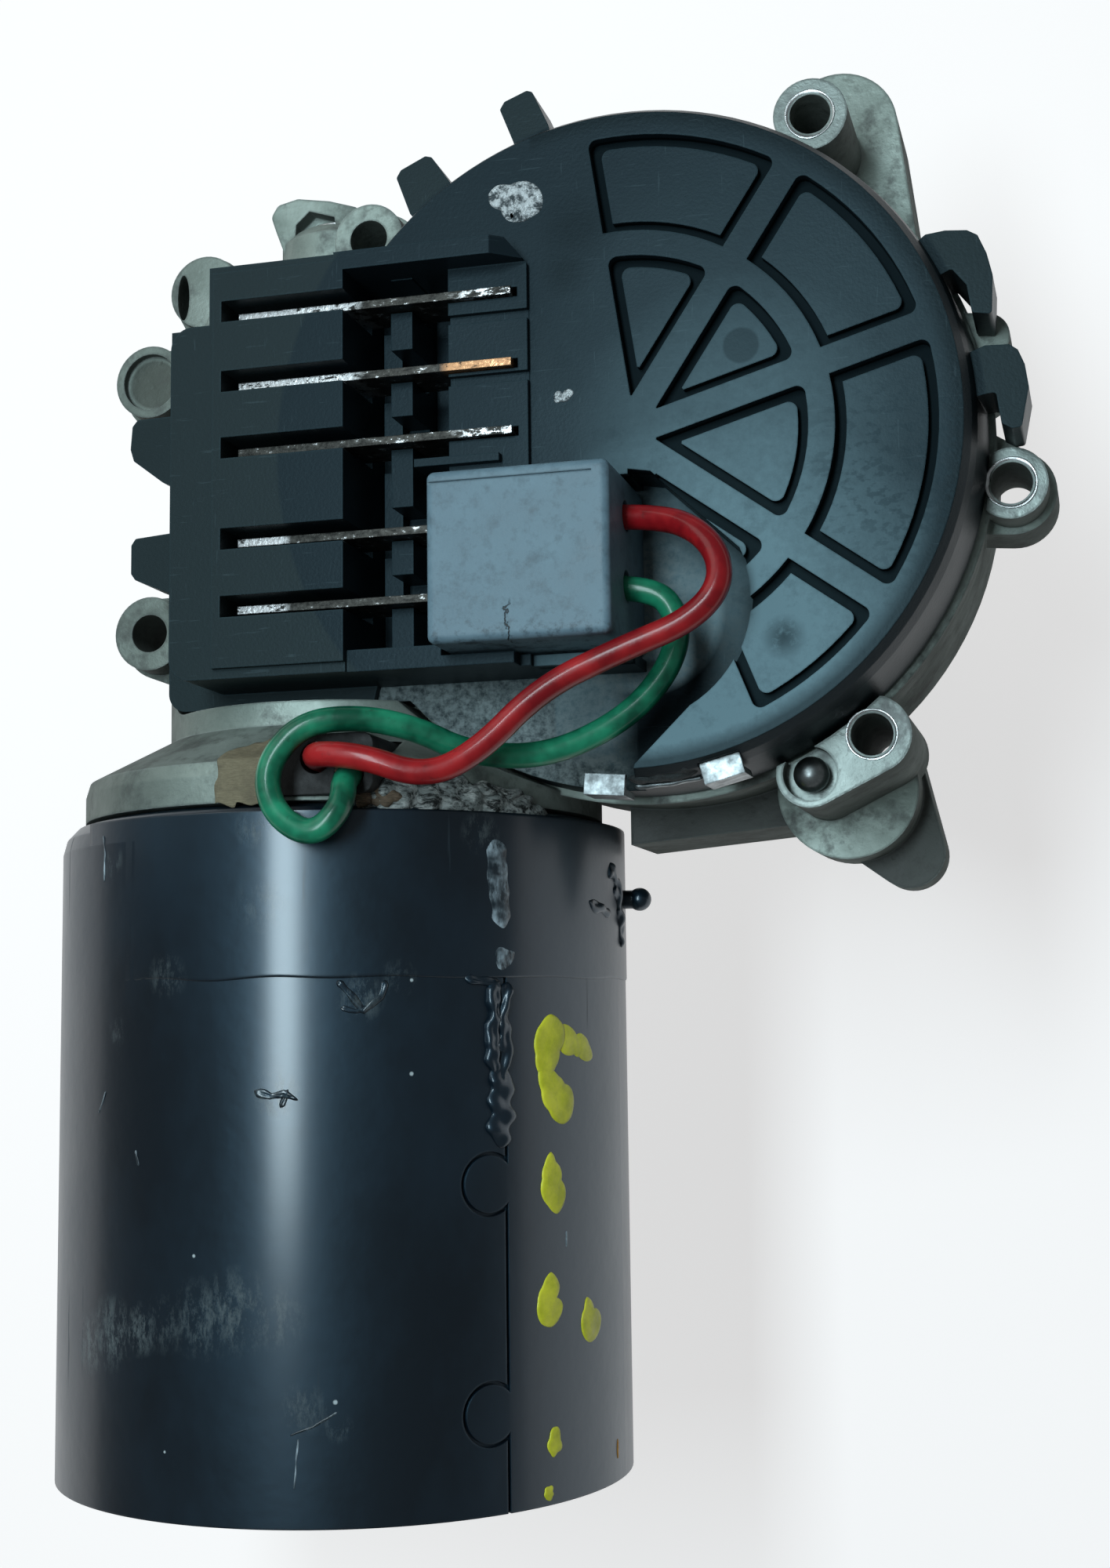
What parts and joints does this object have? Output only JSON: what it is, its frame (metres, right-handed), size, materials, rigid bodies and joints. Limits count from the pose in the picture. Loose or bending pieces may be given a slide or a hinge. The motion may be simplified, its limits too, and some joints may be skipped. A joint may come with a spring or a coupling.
{
  "type": "wiper motor",
  "caption": "Geared wiper motor: can motor whose worm turns a wheel in a cast bowl under a moulded cover with blade terminals, with a vertical output shaft.",
  "frame": {"origin": "on the output shaft's axis at the end face of the shaft tower", "axes": "the output shaft points along -Z, the cover's round face looks along +Z, and the motor can runs along -Y beside it"},
  "size_m": [0.1095, 0.1478, 0.0957],
  "materials": {
    "cast_aluminium": "cast, greenish grey, machined pads",
    "black_plastic": "moulded, satin",
    "can_paint": "gloss black paint",
    "bare_steel": "bright steel",
    "core_steel": "varnished laminations",
    "copper": "copper",
    "brass": "brass and bronze",
    "tinned_blade": "tinned blades",
    "carbon": "carbon",
    "ferrite": "ferrite",
    "white_plastic": "acetal",
    "plug_plastic": "moulded, light blue-grey",
    "rubber": "rubber",
    "red_cover": "insulation, red",
    "green_cover": "insulation, green"
  },
  "bodies": {
    "housing": {"bearing_retainer": "bare_steel", "brush_1": "carbon", "brush_2": "carbon", "brush_holder_1": "brass", "brush_holder_2": "brass", "brush_plate": "black_plastic", "brush_spring_1": "bare_steel", "brush_spring_2": "bare_steel", "can_end_cap": "can_paint", "can_rivet": "bare_steel", "choke_1": "copper", "choke_2": "copper", "cover_clip_1": "bare_steel", "cover_clip_2": "bare_steel", "cover_gasket": "rubber", "drain_stub": "can_paint", "end_bush": "brass", "front_bearing": "bare_steel", "gear_cover": "black_plastic", "gear_housing": "cast_aluminium", "green_lead": "green_cover", "lead_grommet": "rubber", "magnet_clips": "bare_steel", "magnet_left": "ferrite", "magnet_right": "ferrite", "motor_can": "can_paint", "motor_plug": "plug_plastic", "output_bush_lower": "brass", "output_bush_upper": "brass", "pad_ball": "bare_steel", "park_finger_1": "copper", "park_finger_2": "copper", "park_finger_3": "copper", "plug_terminal_1": "brass", "plug_terminal_2": "brass", "rear_bearing": "brass", "red_lead": "red_cover", "shaft_seal": "rubber", "terminal_blade_1": "tinned_blade", "terminal_blade_2": "tinned_blade", "terminal_blade_3": "tinned_blade", "terminal_blade_4": "tinned_blade", "terminal_blade_5": "tinned_blade", "thrust_ball": "bare_steel", "thrust_screw": "bare_steel"},
    "armature": {"armature_shaft": "bare_steel", "armature_core": "core_steel", "armature_windings": "copper", "commutator": "copper"},
    "output": {"gear_wheel": "white_plastic", "output_shaft": "bare_steel", "shaft_clip": "bare_steel", "park_disc": "brass", "thrust_washer": "bare_steel"}
  },
  "joints": [
    {"name": "armature_spin", "type": "hinge", "parent": "housing", "child": "armature", "pos_m": [-0.0367, 0, 0.038], "axis": [0, 1, 0], "continuous": true},
    {"name": "output_turn", "type": "hinge", "parent": "housing", "child": "output", "pos_m": [0, 0, 0], "axis": [0, 0, 1], "continuous": true}
  ],
  "couplings": [
    {"joint": "output_turn", "follows": "armature_spin", "ratio": 0.018519}
  ]
}
